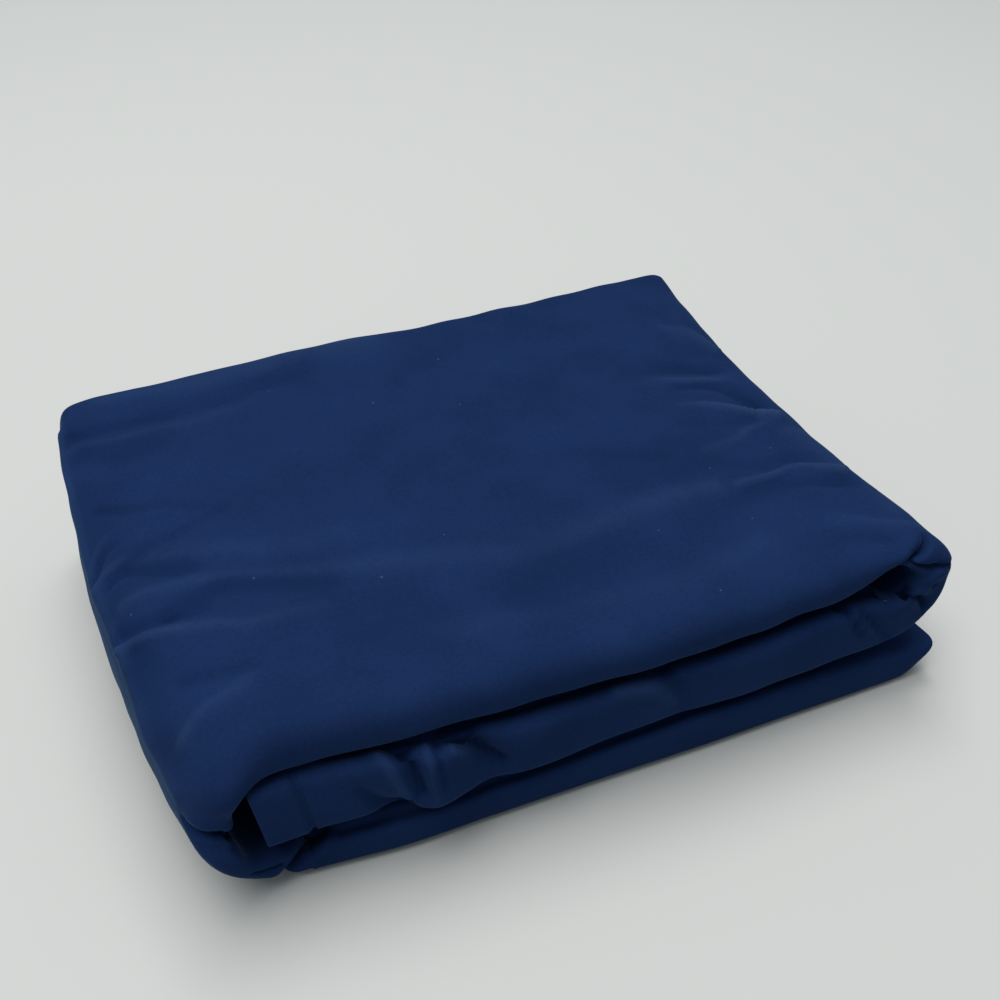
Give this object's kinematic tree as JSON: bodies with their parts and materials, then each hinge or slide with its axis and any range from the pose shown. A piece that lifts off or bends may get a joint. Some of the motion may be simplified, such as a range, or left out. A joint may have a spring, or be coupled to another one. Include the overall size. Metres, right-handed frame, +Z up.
{
  "type": "folded flat sheet",
  "caption": "Plain dark blue flat bed sheet, folded lengthwise into a strip and the strip folded in thirds, with rounded front folds and a hemmed end tucked inside.",
  "frame": {"origin": "middle of the footprint, on the surface that the folded sheet rests on", "axes": "+X along the strip, towards the free end of the bottom panel; +Y towards the back edge, away from the rounded front folds; +Z up"},
  "size_m": [0.3978, 0.3014, 0.0959],
  "materials": {
    "sheet_cloth": "smooth plain weave, dark blue, with a faint sheen"
  },
  "bodies": {
    "root": {"flat_sheet": "sheet_cloth"}
  },
  "joints": []
}
